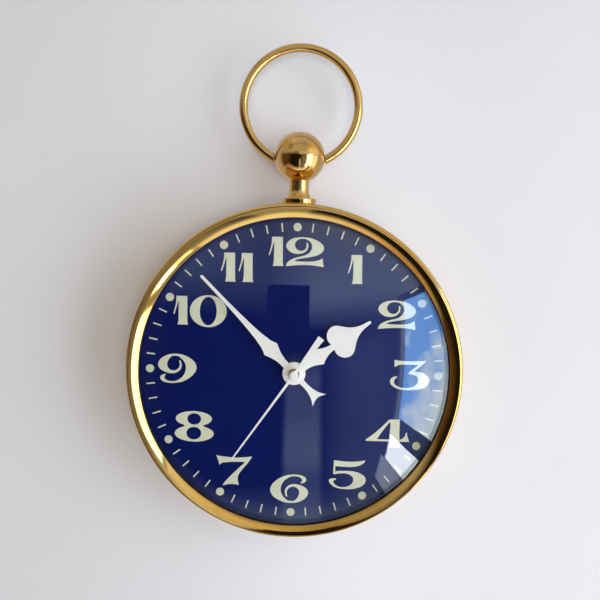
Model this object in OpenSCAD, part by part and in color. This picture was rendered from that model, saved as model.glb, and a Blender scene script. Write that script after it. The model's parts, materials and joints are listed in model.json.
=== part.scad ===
// A wall clock styled as a pocket watch: brass case, domed glass, hanging ring, battery movement.
// Millimetres, +Z up, the dial facing -Y, the origin on the hand axis at the wall.

/* [Case] */
// Outer radius of the case wall
case_r = 90.4; // [87:0.2:94]
// Thickness of the spun brass sheet
sheet_t = 0.9; // [0.7:0.1:1.2]
// Height of the dial face above the wall
dial_z = 26; // [25:0.5:29]
// Thickness of the dial plate
dial_t = 0.8; // [0.6:0.1:1.1]
// Height of the black wall between dial and glass
spacer_h = 4.2; // [3.8:0.1:5]
// Thickness of the glass
glass_t = 2; // [1.6:0.1:2.4]
// Rise of the dome above its rim
glass_rise = 13.5; // [12.5:0.5:16]
// Width of the rounded bezel
bezel_w = 6; // [5.5:0.1:6.6]
// Tilt of the bezel's face in towards the glass, in degrees
bezel_tilt = 30; // [26:1:34]
// Width of the bead that shows outside the bezel
bead_w = 2.3; // [2:0.1:2.8]

/* [Ring and pendant] */
// Radius of the ball
ball_r = 14.35; // [13:0.05:15]
// Height of the ball centre above the case wall
ball_rise = 31.6; // [30:0.1:34]
// Radius of the collar under the neck
collar_r = 10; // [9:0.1:11]
// Radius of the waist of the neck
neck_r = 5.6; // [5:0.1:6]
// Radius of the ring, to the middle of its wire
ring_r = 32.6; // [30:0.1:36]
// Radius of the ring's wire
wire_r = 2.4; // [2:0.1:2.6]
// Radius of the pins the ring turns on
pin_r = 1.4; // [1.2:0.1:1.6]

/* [Dial print] */
// Distance from the bezel's inner edge in to the circle of hour dots
print_gap = 4.8; // [4.4:0.1:6]
// Radius of an hour dot
dot_r = 2.33; // [2:0.01:2.6]
// Length of a minute mark
mark_l = 4.85; // [4:0.05:5.2]
// Width of a minute mark
mark_w = 0.8; // [0.6:0.05:1]

/* [Hands] */
// Length of the minute hand from its axis
minute_len = 75.9; // [70:0.1:78]
// Length of the hour hand from its axis
hour_len = 52.2; // [50:0.1:55]
// Length of the seconds hand from its axis
seconds_len = 59.5; // [55:0.1:61]
// Thickness of the hour and minute hands
hand_t = 0.5; // [0.4:0.05:0.6]
// Where the minute hand points, degrees clockwise from the top
minute_turn = 315.4; // [0:0.1:360]
// Where the hour hand points, degrees clockwise from the top
hour_turn = 54.5; // [0:0.1:360]
// Where the seconds hand points, degrees clockwise from the top
seconds_turn = 214.7; // [0:0.1:360]

/* [Movement] */
// Half the width of the movement case
mov_half = 29; // [29:0.5:32]
// Wall thickness of the movement case
mov_wall = 1.5; // [1.3:0.1:1.8]
// Distance from the hand axis to the third arbor
third_far = 12.6; // [12.4:0.05:12.9]
// Distance from the hand axis to the minute wheel stud
stud_far = 10; // [9.8:0.05:10.2]
// Distance from the hand axis to the intermediate arbor
inter_far = 12.6; // [12.4:0.05:12.9]
// Distance from the intermediate arbor to the rotor
rotor_far = 9.8; // [9.6:0.05:10]
// Thickness of a wheel
wheel_t = 1; // [0.8:0.1:1.1]
// Length of the battery
battery_l = 50.5; // [50:0.1:51]
// Radius of the battery
battery_r = 7.25; // [7:0.05:7.25]

/* [Hidden] */
$fa = 4;
$fs = 0.4;

// Clearances: running fits, pinned joints and tooth play
run_gap = 0.08;
pin_gap = 0.05;
tooth_play = 0.1;
touch_gap = 0.15;

// Case heights and radii, each tied to the wall radius and the dial height
spigot_r = case_r + 2 * sheet_t;
spigot_in = spigot_r - sheet_t;
seat_z = dial_z - dial_t;
dial_r = spigot_in - 0.2;
glass_z = dial_z + spacer_h;
rim_z = glass_z + glass_t;
gasket_t = 0.4;
lip_z = rim_z + gasket_t;
edge_z = lip_z + 0.6;
bezel_out = spigot_r + 0.8;
bezel_in = bezel_out - bezel_w;
face_r = 17;
face_in = bezel_tilt + 10;
face_x = bezel_in + face_r * sin(face_in);
face_z = edge_z - face_r * cos(face_in);
crest_r = 0.7;
crest_x = bezel_out - crest_r;
crest_z = face_z + sqrt(pow(face_r - crest_r, 2) - pow(face_x - crest_x, 2));
crest_end = face_x - (face_x - crest_x) * face_r / (face_r - crest_r);
bead_r1 = 1.7;
bead_z1 = lip_z - 1.6;
bead_z0 = bead_z1 - 2 * bead_r1;
bead_c = bezel_out + bead_w - bead_r1;
glass_r = spigot_in - 0.4;
dome_r = bezel_in + 1;
dome_ball = (dome_r * dome_r + glass_rise * glass_rise) / (2 * glass_rise);
dome_z = rim_z + glass_rise - dome_ball;

// Back of the case
recess_r = case_r - 4;
flange_r = case_r - 10.4;
flange_z = 2.2;
cover_t = 1.2;
cover_r = recess_r - 0.2;
cover_z = flange_z - cover_t;
screw_at = (flange_r + recess_r) / 2;
screw_r = 1.25;
screw_head = 2.4;
screw_head_t = 0.8;
screw_tail = 3;
screw_slot = 0.35;
hook_y = case_r * 0.59735;
hook_r = 4.5;
hook_slot = 2.2;
hook_run = 8;
hook_top = hook_y + hook_run;
plate_t = 1.5;
plate_edge = 8;
plate_half = 16;
rivet_x = 12;
rivet_edge = 4;
rivet_r = 1.2;
rivet_head = 2.2;
rivet_head_t = 0.8;

// Pendant and ring
pend_z = max(dial_z - 11, ball_r + 0.65);
stud_r = 3;
collar_low = case_r + 4.9;
collar_top = case_r + 8.2;
ball_y = case_r + ball_rise;
collar_edge = 0.6;
plug_r = collar_r - 1.2;
flute_h = 4.8;
flute_out = 1.5;
flute_r = (flute_h * flute_h + flute_out * flute_out) / (2 * flute_out);
neck_foot = neck_r + flute_out;
stub_gap = 0.3;
bow_gap = 0.1;
pin_l = 4;
pin_drop = 0.9;
pin_y = ball_y - pin_drop;
ring_x = ball_r + stub_gap;
ring_rise = sqrt(ring_r * ring_r - ring_x * ring_x);
ring_open = asin(ring_x / ring_r);
washer_half = 7;
saddle = 3;
washer_top = sqrt(pow(case_r - sheet_t, 2) - washer_half * washer_half);
washer_low = washer_top - 1.2;
nut_h = 4.5;

// Dial print
dots_at = bezel_in - print_gap;
print_k = dots_at / 82.2;
print_t = 0.1;

// Stack of hands above the dial
bush_r = 4.5;
hour_pipe_r = 3.1;
minute_pipe_r = 2.2;
seconds_r = 0.9;
bush_top = dial_z + 2.1;
hour_z = dial_z + 2.35;
minute_z = dial_z + 4.15;
boss_z = minute_z + hand_t;
boss_r = 6.5;
nut_z = boss_z + 0.5;
nut_top = nut_z + 1.7;
seconds_z = dial_z + 9.75;
seconds_t = 0.4;
cap_r = 2.4;
cap_top = dial_z + 11.3;

// Movement levels, from the front wall back to the lid
mov_front = seat_z - 0.5;
mov_in = mov_front - 2;
level_gap = 2;
hour_lv = mov_in - 1.1 - wheel_t;
minute_lv = hour_lv - level_gap;
centre_lv = minute_lv - level_gap;
third_lv = centre_lv - level_gap;
seconds_lv = third_lv - level_gap;
inter_lv = seconds_lv - level_gap;
lid_z1 = inter_lv - 1;
lid_z0 = lid_z1 - 1.5;
cavity = mov_half - mov_wall;
mov_ref = 29;
mov_k = mov_half / mov_ref;
pivot_r = 0.4;
pivot_l = 0.9;
pivot_step = 0.3;
arbor_r = 0.6;
knob_r = 1.5;
knob_disc = 6;
knob_z = lid_z0 - 4.5;

// Places of the arbors, the train growing with the movement case
third_d = third_far * mov_k;
stud_d = stud_far * mov_k;
inter_d = inter_far * mov_k;
rotor_d = rotor_far * mov_k;
third_at = third_d * [cos(200), sin(200)];
minute_at = stud_d * [cos(40), sin(40)];
knob_at = minute_at + stud_d * [cos(340), sin(340)];
inter_at = inter_d * [cos(100), sin(100)];
rotor_at = inter_at + rotor_d * [cos(150), sin(150)];

// Tooth sizes that fill each distance
seconds_m = third_d / 36;
centre_m = third_d / 34;
cannon_m = stud_d / 24;
hour_m = stud_d / 25;
inter_m = inter_d / 30;
rotor_m = rotor_d / 28;
shift = 0.45;

// Battery bay, and the window in the back that it is reached through
bay_half = battery_l / 2 + 2.25;
bay_out = bay_half + mov_wall;
box_half = max(mov_half, bay_out);
box_in = box_half - mov_wall;
battery_y = -mov_half - battery_r - 1.75;
battery_z = mov_in - battery_r - 0.95;
bay_low = battery_y - battery_r - 1.25;
cap_r2 = 2.75;
cap_l = 1;
leaf_t = 0.4;
leaf_half = 4;
leaf_end = 5;
window_gap = 4;
window_half = box_half + window_gap;
window_top = mov_half + window_gap;
window_low = bay_low - mov_wall - window_gap + 1;

// Stator, coil and board
stator_t = 1;
stator_z = seconds_lv + 1.5;
stator_half = 6;
rotor_r = 3;
rotor_gap = 0.6;
core_half = 1;
core_t = 2;
core_z = stator_z - core_t;
coil_y = cavity * 0.811;
coil_r = 3.3;
coil_x0 = mov_half * 0.145;
coil_x1 = mov_half * 0.603;
flange_t = 0.8;
leg_x0 = mov_half * 0.638;
leg_x1 = mov_half * 0.741;
leg_drop = 7;
board_z = seconds_lv - 0.6;
board_t = 1;
board_x0 = mov_half * 0.431;
board_x1 = mov_half * 0.776;
board_y0 = -mov_half * 0.879;
board_y1 = -mov_half * 0.224;
post_edge = 1.8;
post_r = 2.2;
lid_screw_r = 0.9;
lid_screw_l = 5.5;

// A smooth curve through hand placed points, without its last point
function along(p, i, t) = let (
  n = len(p) - 1,
  a = p[max(i - 1, 0)],
  b = p[i],
  c = p[i + 1],
  d = p[min(i + 2, n)]
) (2 * b + (c - a) * t + (2 * a - 5 * b + 4 * c - d) * t * t + (3 * b - a - 3 * c + d) * t * t * t) / 2;
function run(p, n = 3) = len(p) == 2 ? [p[0]] :
  [for (i = [0 : len(p) - 2]) for (k = [0 : n - 1]) along(p, i, k / n)];
function oval(a, b, x, y, n = 48) =
  [for (i = [0 : n - 1]) [x + a * cos(i * 360 / n), y + b * sin(i * 360 / n)]];
function turned(p) = [for (q = p) -q];
function sized(p, k) = [for (q = p) k * q];
function stretched(p, k) = [for (q = p) [q[0], q[1] * k]];

// Outline of the figure one about its own centre
function figure_one() = concat(
  run([[-2.5, 8.1], [3.6, 8.1]]),
  run([[3.6, 8.1], [3.7, 1.6], [3.8, -4.8], [3.9, -7], [4.3, -8.2]]),
  run([[4.3, -8.2], [-1.9, -8.2]]),
  run([[-1.9, -8.2], [-1.4, -7], [-1.2, -4.4], [-1.2, 1.6], [-1.2, 4.3], [-1.5, 5.2]]),
  run([[-1.5, 5.2], [-1.9, 3.4], [-2.5, 1.2], [-3.5, -2]]),
  run([[-3.5, -2], [-3.9, -2.3], [-4.2, -1.9]]),
  run([[-4.2, -1.9], [-3.6, 0.2], [-3, 2.6], [-2.6, 5], [-2.5, 8.1]])
);

// Outline of the figure two about its own centre
function figure_two() = concat(
  run([[1.1, 5.6], [1.7, 4.2], [1.6, 2.4], [0.7, 0.7], [-1.1, -0.6], [-4.1, -1.2], [-7.3, -0.6],
    [-9.7, 1.1], [-10.7, 3.2], [-9.7, 5.5], [-7.1, 7.3], [-3.7, 8.1], [-0.1, 8.2], [3.9, 7.6],
    [7.5, 6.1], [9.9, 4.1], [10.6, 2.2], [9.7, 0.1], [7, -1.7], [3, -2.8], [-2, -3.7], [-4.5, -4.3],
    [-6.1, -5]]),
  run([[-6.1, -5], [-3.5, -5.3], [0.5, -5.4], [4.5, -5.2], [7.9, -4.4], [10, -3.2]]),
  run([[10, -3.2], [10.2, -5.5], [10.8, -8.3]]),
  run([[10.8, -8.3], [5.5, -7.5], [0, -7.3], [-5.5, -7.6], [-10.6, -8.2]]),
  run([[-10.6, -8.2], [-10.1, -6.5], [-8.5, -4.9], [-6, -3.6], [-2.5, -2.6], [0.7, -1.6], [2.8, 0],
    [3.8, 2.2], [3.7, 4.2], [2.4, 6.1], [0.1, 7.2], [-2.1, 7.3], [-4.2, 6.7], [-5.5, 5.1],
    [-5.8, 3.5], [-5, 1.9], [-3.5, 0.8], [-1.7, 0.6], [-0.1, 1.4], [0.8, 3], [0.8, 4.6], [1.1, 5.6]])
);

// Outline of the figure three about its own centre
function figure_three() = concat(
  run([[-9, 8.6], [-7.6, 8.4], [-5.3, 8.1], [-0.8, 8], [4.2, 8.1], [7.2, 8.3], [9.2, 8.6]]),
  run([[9.2, 8.6], [7.7, 6.8], [5.2, 4.6], [2.4, 2.1]]),
  run([[2.4, 2.1], [4.2, 2], [6.5, 1.6], [8.7, 0.7], [10.4, -0.8], [11.2, -2.7], [10.8, -4.6],
    [9.4, -6.3], [7.2, -7.5], [4.2, -8.3], [0.7, -8.7], [-2.8, -8.7], [-5.8, -8.2], [-8.5, -7.2],
    [-10.4, -5.7], [-11.1, -4.2], [-10.8, -2.6], [-9.5, -1.4], [-7.8, -0.8], [-7.1, -1.2],
    [-7.6, -1.8]]),
  run([[-7.6, -1.8], [-8.5, -2.7], [-8.8, -3.9], [-8.4, -5.2], [-7.2, -6.4], [-5.2, -7.2],
    [-2.8, -7.5], [-0.2, -7.2], [2.2, -6.5], [3.9, -5.4], [4.7, -3.8], [4.7, -2.2], [4.1, -0.9],
    [2.9, -0.1], [1.2, 0.4], [-1.2, 0.6]]),
  run([[-1.2, 0.6], [0.2, 2.2], [2.2, 3.9], [4.9, 6]]),
  run([[4.9, 6], [-0.8, 6], [-4.6, 6], [-6.3, 5.8], [-7.5, 5.2], [-8.8, 4.4]]),
  run([[-8.8, 4.4], [-9, 8.6]])
);

// Outline of the figure five about its own centre
function figure_five() = concat(
  run([[-8, 8.3], [-5.3, 8], [-2.3, 7.7], [1.2, 7.6], [4.7, 7.8], [7.7, 8.2], [9.8, 8.7]]),
  run([[9.8, 8.7], [9.6, 7.6], [8.7, 6.6], [6.7, 5.5], [4.2, 4.8], [0.7, 4.5], [-2.8, 4.6],
    [-7.2, 4.8]]),
  run([[-7.2, 4.8], [-7.2, 1.6]]),
  run([[-7.2, 1.6], [-5.3, 2], [-2.3, 2.1], [0.7, 2.2], [3.7, 1.9], [6.4, 1.2], [8.7, 0],
    [10.1, -1.3], [10.6, -2.9], [10.2, -4.7], [8.9, -6.3], [6.7, -7.5], [3.7, -8.4], [0.2, -8.7],
    [-3.3, -8.5], [-6.3, -7.9], [-8.6, -6.7], [-10.2, -5], [-10.6, -3.8], [-10.2, -3], [-8.8, -2.5],
    [-7.3, -2.4], [-6.4, -2.8], [-6.8, -3.3]]),
  run([[-6.8, -3.3], [-7.6, -3.6], [-8.1, -4.2], [-7.9, -5], [-6.8, -6.2], [-5, -7.2], [-2.8, -7.5],
    [-0.5, -7.2], [1.7, -6.3], [3, -4.8], [3.4, -3.2], [3.1, -1.7], [2, -0.5], [0.2, 0.4],
    [-2.3, 0.7], [-4.8, 0.5], [-8.2, 0]]),
  run([[-8.2, 0], [-8.2, 3], [-8, 8.3]])
);

// Outline of the figure six about its own centre
function figure_six() = concat(
  run([[6.4, 3.3], [7.7, 3.5], [8.9, 4], [9.6, 4.9], [9.6, 6], [8.3, 7.5], [6.1, 8.2], [3.1, 8.5],
    [0.1, 8.2], [-2.9, 7.5], [-5.9, 6], [-8.7, 3.8], [-10.4, 1.5], [-11, -1], [-9.9, -3.8],
    [-7.9, -5.7], [-5.2, -7.2], [-2.2, -8.2], [1.1, -8.5], [4.1, -8.2], [6.9, -7.2], [9.1, -5.8],
    [10.5, -4], [11, -2.2], [10.5, -0.5], [9.3, 0.8], [7.1, 2], [4.6, 2.7], [2.4, 2.8], [0.5, 2.3],
    [-1.1, 1.3], [-2.1, 0], [-2.5, -1.8], [-2.3, -3.2], [-1.8, -4.5], [-1.3, -4.8]]),
  run([[-1.3, -4.8], [-1, -4.2], [-1.4, -3], [-1.3, -1.5], [-0.7, -0.2], [0.5, 0.8], [2, 1.2],
    [3.6, 1], [4.9, 0], [5.7, -1.3], [5.8, -2.8], [5.3, -4.5], [4.3, -6], [2.7, -7.2], [1.1, -7.3],
    [-0.7, -7], [-2.4, -5.8], [-3.9, -4], [-4.7, -2.2], [-4.9, -0.2], [-4.4, 2.2], [-3.2, 4.4],
    [-1.4, 6], [0.4, 7], [2.1, 7.4], [3.9, 7.4], [5.6, 7], [7, 6.1], [7.4, 5.4], [7.1, 4.5],
    [6.4, 3.3]])
);

// Outline of the figure seven about its own centre
function figure_seven() = concat(
  run([[-10.4, 9], [-8.6, 8.5], [-5.9, 8.2], [-2.9, 7.9], [0.1, 7.7], [3.1, 7.8], [6.6, 8.1],
    [10.3, 8.6]]),
  run([[10.3, 8.6], [9.6, 7.2], [8.1, 5], [6.1, 2.5], [4.1, 0], [2.9, -1.8], [2.3, -3.5],
    [2.2, -5.3], [2.9, -8.5]]),
  run([[2.9, -8.5], [1.1, -8.1], [-1.4, -8], [-3.9, -8.3], [-6.5, -9]]),
  run([[-6.5, -9], [-5.6, -7.3], [-3.9, -5.2], [-1.4, -2.5], [1.6, 0.5], [4.1, 3], [6.4, 5.1]]),
  run([[6.4, 5.1], [4.1, 5.3], [0.1, 5.2], [-3.9, 4.9], [-6.9, 4.5], [-8.5, 3.1]]),
  run([[-8.5, 3.1], [-9.1, 5.5], [-10.4, 9]])
);

// Outline of the figure four and of its hole
function figure_four() = concat(
  run([[0.6, 7.8], [6.7, 8.1]]),
  run([[6.7, 8.1], [6.6, 3.9], [6.7, -0.1], [6.8, -3.7]]),
  run([[6.8, -3.7], [8.1, -3.4], [9.4, -2.3], [10.2, -0.8], [10.5, 0.6]]),
  run([[10.5, 0.6], [10.9, 0.6]]),
  run([[10.9, 0.6], [11.2, -1.2], [11.7, -2.9], [12.6, -4.9]]),
  run([[12.6, -4.9], [6.8, -4.9]]),
  run([[6.8, -4.9], [6.9, -6.9], [7.4, -8.2]]),
  run([[7.4, -8.2], [0.5, -8.2]]),
  run([[0.5, -8.2], [1, -6.9], [1.2, -4.9]]),
  run([[1.2, -4.9], [-12.5, -4.9]]),
  run([[-12.5, -4.9], [-12.4, -4]]),
  run([[-12.4, -4], [-10.1, -2.4], [-7.1, 0.1], [-4.1, 2.9], [-1.6, 5.5], [0.6, 7.8]])
);
function hole_four() = concat(
  run([[1.2, 6.7], [1.4, 3.9], [1.2, 0.4], [1.2, -3.8]]),
  run([[1.2, -3.8], [-6.1, -3.8]]),
  run([[-6.1, -3.8], [-4.1, -0.6], [-1.6, 3.1], [1.2, 6.7]])
);

// Right half of each hand, pointing up, from its tail to its tip
function minute_half() = concat(
  run([[0, -19.2], [2.2, -19.6], [5.1, -21]]),
  run([[5.1, -21], [3.05, -17.6], [1.95, -14.3], [1.4, -10.3], [1.6, -6]]),
  run([[1.6, -6], [1.95, 6]]),
  run([[1.95, 6], [2.05, 9.5], [2.6, 13], [3.7, 16.3], [4.85, 19]]),
  run([[4.85, 19], [3.6, 22], [2.95, 25], [2.25, 30], [1.75, 36], [1.3, 45], [1, 54]]),
  run([[1, 54], [0.78, 75.2]]),
  run([[0.78, 75.2], [0.55, 75.7], [0, 75.9]]),
  [[0, 75.9]]
);
function hour_half() = concat(
  [[0, -3], [2.6, -3]],
  run([[2.6, 5], [2.45, 9.3], [3.2, 12.4], [4.25, 14.8], [5.3, 16.9]]),
  run([[5.3, 16.9], [3.9, 18.7], [2.7, 21.3], [1.95, 24], [1.8, 26.6]]),
  run([[1.8, 26.6], [3.4, 26.1], [5.5, 26.35], [7.5, 27.5], [9.05, 29.2], [9.8, 31.5], [9.55, 33.8],
    [8.4, 35.6], [6.65, 37.4], [4.7, 39.5], [2.9, 42.2], [1.7, 45.2], [1.1, 48.5], [0.8, 51.4]]),
  run([[0.8, 51.4], [0.5, 52], [0, 52.2]]),
  [[0, 52.2]]
);
function seconds_half() = [[0, -25.9], [1.9, -25.9], [0.85, -4], [0.75, 0], [0.38, 59.2], [0, 59.5]];
function both(h) = concat(h, [for (i = [len(h) - 2 : -1 : 1]) [-h[i][0], h[i][1]]]);

// Involute teeth with a longer pinion tooth and a shorter wheel tooth
function inv(a) = tan(a) * 180 / PI - a;
function flank(r, rb, half) = half + inv(20) - (r > rb ? inv(acos(rb / r)) : 0);
function tooth(teeth, m, x) = let (
  rp = m * teeth / 2,
  rb = rp * cos(20),
  tip = rp + m * (0.7 + x),
  root = rp - m * (1.1 - x),
  half = (m * (PI / 2 + 2 * x * tan(20)) - tooth_play) / (2 * rp) * 180 / PI,
  low = max(rb, root + 0.02),
  rs = [root, low, (2 * low + tip) / 3, (low + 2 * tip) / 3, tip],
  n = len(rs)
) concat(
  [for (r = rs) [r, -flank(r, rb, half)]],
  [for (i = [n - 1 : -1 : 0]) [rs[i], flank(rs[i], rb, half)]]
);
function gear(teeth, m, x, phase) = [
  for (i = [0 : teeth - 1])
    for (p = tooth(teeth, m, x))
      p[0] * [cos(phase + i * 360 / teeth + p[1]), sin(phase + i * 360 / teeth + p[1])]
];

// Small helpers in the frame of the dial: X right, Y up, Z from the wall to the viewer
module front() {
  rotate([90, 0, 0])
    children();
}
module rod(r, z0, z1) {
  translate([0, 0, z0])
    cylinder(r = r, h = z1 - z0);
}
module tube(r1, r0, z0, z1) {
  difference() {
    rod(r1, z0, z1);
    rod(r0, z0 - 1, z1 + 1);
  }
}
module slab(x0, x1, y0, y1, z0, z1) {
  translate([x0, y0, z0])
    cube([x1 - x0, y1 - y0, z1 - z0]);
}
module pane(x0, x1, y0, y1) {
  translate([x0, y0])
    square([x1 - x0, y1 - y0]);
}
module plate(z0, z1) {
  translate([0, 0, z0])
    linear_extrude(height = z1 - z0)
      children();
}
module upright() {
  translate([0, 0, pend_z])
    rotate([-90, 0, 0])
      children();
}
module at(p) {
  translate([p[0], p[1], 0])
    children();
}
module crossways(x0, x1, r) {
  translate([x0, 0, 0])
    rotate([0, 90, 0])
      cylinder(r = r, h = x1 - x0);
}
module toothed(teeth, m, x, phase, bore, z0, z1) {
  plate(z0, z1)
    difference() {
      polygon(gear(teeth, m, x, phase));
      circle(r = bore / cos(15), $fn = 12);
    }
}

// Case
module case_drum() {
  color("goldenrod")
    front()
      difference() {
        rotate_extrude() {
          pane(recess_r, case_r, 0, sheet_t);
          pane(recess_r, recess_r + sheet_t, 0, flange_z + sheet_t);
          pane(flange_r, recess_r + sheet_t, flange_z, flange_z + sheet_t);
          pane(case_r - sheet_t, case_r, 0, seat_z);
          pane(case_r - sheet_t, spigot_r, seat_z - sheet_t, seat_z);
          pane(spigot_in, spigot_r, seat_z - sheet_t, rim_z);
          pane(spigot_in, bead_c, bead_z0, bead_z1);
          translate([bead_c, bead_z0 + bead_r1])
            circle(r = bead_r1);
        }
        upright()
          rod(stud_r, case_r - saddle, case_r + saddle);
        back_screw_spots()
          rod(screw_r, 0, 10);
      }
}
module back_screw_spots() {
  for (a = [45 : 90 : 315])
    rotate(a)
      translate([screw_at, 0, 0])
        children();
}
module bezel() {
  color("gold")
    front()
      rotate_extrude() {
        intersection() {
          translate([face_x, face_z])
            circle(r = face_r);
          pane(bezel_in, crest_end, edge_z, edge_z + 10);
        }
        translate([crest_x, crest_z])
          circle(r = crest_r);
        pane(crest_end, bezel_out, edge_z, crest_z);
        pane(bezel_in, bezel_out, lip_z, edge_z);
        pane(spigot_r + pin_gap, bezel_out - 0.25, bead_z1, lip_z);
      }
}
module glass_dome() {
  color("lightcyan", 0.4)
    front()
      rotate_extrude() {
        intersection() {
          difference() {
            translate([0, dome_z])
              circle(r = dome_ball);
            translate([0, dome_z])
              circle(r = dome_ball - glass_t);
          }
          pane(0, dome_r, glass_z, rim_z + glass_rise + 1);
        }
        pane(dome_r - 0.6, glass_r, glass_z, rim_z);
      }
}
module glass_gasket() {
  color("black")
    front()
      tube(glass_r, dome_r + 0.2, rim_z, lip_z);
}
module spacer_ring() {
  color("black")
    front()
      rotate_extrude()
        polygon([[bezel_in + 1.2, dial_z], [dial_r, dial_z], [dial_r, glass_z], [bezel_in + 0.6, glass_z]]);
}
module dial_plate() {
  color("midnightblue")
    front()
      tube(dial_r, bush_r + 0.1, seat_z, dial_z);
}

// Dial print
module figure(p, x, y) {
  translate([x * print_k, y * print_k, 0])
    polygon(sized(p, print_k));
}
module figure_holed(p, h, x, y) {
  difference() {
    figure(p, x, y);
    figure(h, x, y);
  }
}
module figure_eight(x, y) {
  difference() {
    union() {
      figure(oval(10.4, 4.4, -0.3, 4.5), x, y);
      figure(oval(11.2, 4.75, 0, -4.2), x, y);
      figure(oval(5.6, 0.75, -0.2, 0.4, 24), x, y);
    }
    figure(oval(3.95, 3.3, -0.1, 4.35, 36), x, y);
    figure(oval(4.25, 3.7, -0.2, -4, 36), x, y);
  }
}
module dial_figures() {
  color("beige")
    front()
      plate(dial_z, dial_z + print_t) {
        figure(figure_one(), -11.7, 68.4);
        figure(figure_two(), 4.5, 68.4);
        figure(figure_one(), 33.1, 59.4);
        figure(figure_two(), 57.4, 34.2);
        figure(figure_three(), 65.9, 0);
        figure_holed(figure_four(), hole_four(), 54.6, -33.9);
        figure(figure_five(), 32.3, -59);
        figure(figure_six(), -1.1, -68.3);
        figure(figure_seven(), -33.2, -58.5);
        figure_eight(-56.5, -33.1);
        figure(turned(figure_six()), -66.6, 0.3);
        figure(figure_one(), -65, 33.8);
        figure_holed(oval(10.45, 9.1, 0, 0), oval(4.8, 8.1, 0, 0), -49.4, 33.6);
        figure(figure_one(), -38.4, 58.9);
        figure(figure_one(), -28.5, 58.9);
      }
}
module hour_dots() {
  color("beige")
    front()
      for (i = [0 : 11])
        rotate(-30 * i)
          translate([0, dots_at, 0])
            rod(dot_r * print_k, dial_z, dial_z + print_t);
}
module minute_marks() {
  color("beige")
    front()
      for (i = [0 : 59])
        if (i % 5 != 0)
          rotate(-6 * i)
            translate([-mark_w / 2, dots_at - mark_l / 2, dial_z])
              cube([mark_w, mark_l, print_t]);
}

// Back of the case
module keyhole(big, small) {
  translate([0, hook_y])
    circle(r = big);
  pane(-small, small, hook_y, hook_top);
  translate([0, hook_top])
    circle(r = small);
}
module rivet_spots() {
  for (x = [-rivet_x, rivet_x])
    for (y = [hook_y - rivet_edge, hook_top + rivet_edge])
      translate([x, y, 0])
        children();
}
module back_cover() {
  color("dimgray")
    front()
      difference() {
        plate(cover_z, flange_z)
          difference() {
            circle(r = cover_r);
            pane(-window_half, window_half, window_low, window_top);
            keyhole(hook_r + 1.7, hook_slot + 2);
          }
        back_screw_spots()
          rod(screw_r, 0, 10);
        rivet_spots()
          rod(rivet_r, 0, 10);
      }
}
module back_screws() {
  color("silver")
    front()
      back_screw_spots()
        difference() {
          union() {
            rod(screw_head, cover_z - screw_head_t, cover_z);
            rod(screw_r, cover_z, flange_z + screw_tail);
          }
          slab(-screw_at, screw_at, -screw_slot, screw_slot, -cover_z, cover_z - screw_head_t / 2);
        }
}
module hanger_plate() {
  color("lightgray")
    front()
      difference() {
        plate(flange_z, flange_z + plate_t)
          difference() {
            pane(-plate_half, plate_half, hook_y - plate_edge, hook_top + plate_edge);
            keyhole(hook_r, hook_slot);
          }
        rivet_spots()
          rod(rivet_r, 0, 10);
      }
}
module hanger_rivets() {
  color("silver")
    front()
      rivet_spots() {
        rod(rivet_r, cover_z, flange_z + plate_t);
        rod(rivet_head, flange_z + plate_t, flange_z + plate_t + rivet_head_t);
      }
}

// Pendant and ring
module pendant_collar() {
  color("goldenrod")
    front()
      difference() {
        upright()
          rotate_extrude() {
            pane(stud_r, plug_r, case_r - saddle, collar_top);
            pane(stud_r, collar_r - collar_edge, collar_low, collar_top);
            pane(stud_r, collar_r, collar_low + collar_edge, collar_top - collar_edge);
            for (y = [collar_low + collar_edge, collar_top - collar_edge])
              translate([collar_r - collar_edge, y])
                circle(r = collar_edge);
          }
        rod(case_r, -case_r, case_r);
      }
}
module pendant_neck() {
  color("goldenrod")
    front()
      upright()
        difference() {
          rotate_extrude()
            difference() {
              pane(stud_r, neck_foot, collar_top, ball_y - ball_r + 2);
              translate([neck_r + flute_r, collar_top + flute_h])
                circle(r = flute_r);
              pane(neck_r, neck_foot + 1, collar_top + flute_h, ball_y);
            }
          translate([0, 0, ball_y])
            sphere(r = ball_r);
        }
}
module pendant_ball() {
  color("gold")
    front()
      difference() {
        translate([0, ball_y, pend_z])
          rotate(45)
            sphere(r = ball_r);
        upright()
          rod(stud_r, ball_y - ball_r - 1, ball_y - 2.5);
        for (s = [0, 1])
          mirror([s, 0, 0])
            translate([0, pin_y, pend_z])
              crossways(ball_r - pin_l - 0.3, ball_r + 2, pin_r + bow_gap);
      }
}
module pendant_stud() {
  color("silver")
    front()
      upright()
        rod(stud_r, washer_low - nut_h - 1, ball_y - 2.5);
}
module pendant_washer() {
  color("silver")
    front()
      difference() {
        slab(-washer_half, washer_half, washer_low, washer_top, pend_z - washer_half, pend_z + washer_half);
        upright()
          rod(stud_r, washer_low - 1, washer_top + 1);
      }
}
module pendant_nut() {
  color("silver")
    front()
      upright()
        difference() {
          translate([0, 0, washer_low - nut_h])
            cylinder(r = 5.6, h = nut_h, $fn = 6);
          rod(stud_r, washer_low - 10, washer_top);
        }
}
module bow_pin() {
  crossways(ball_r - pin_l, ring_x + pin_l, pin_r);
}
module bow_ring() {
  color("gold")
    front()
      translate([0, pin_y, pend_z]) {
        difference() {
          translate([0, ring_rise, 0])
            rotate(ring_open - 100)
              rotate_extrude(angle = 380 - 2 * ring_open)
                translate([ring_r, 0])
                  circle(r = wire_r);
          slab(-ring_x, ring_x, -ring_r, ring_r / 2, -ring_r, ring_r);
        }
        bow_pin();
        mirror([1, 0, 0])
          bow_pin();
      }
}

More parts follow.
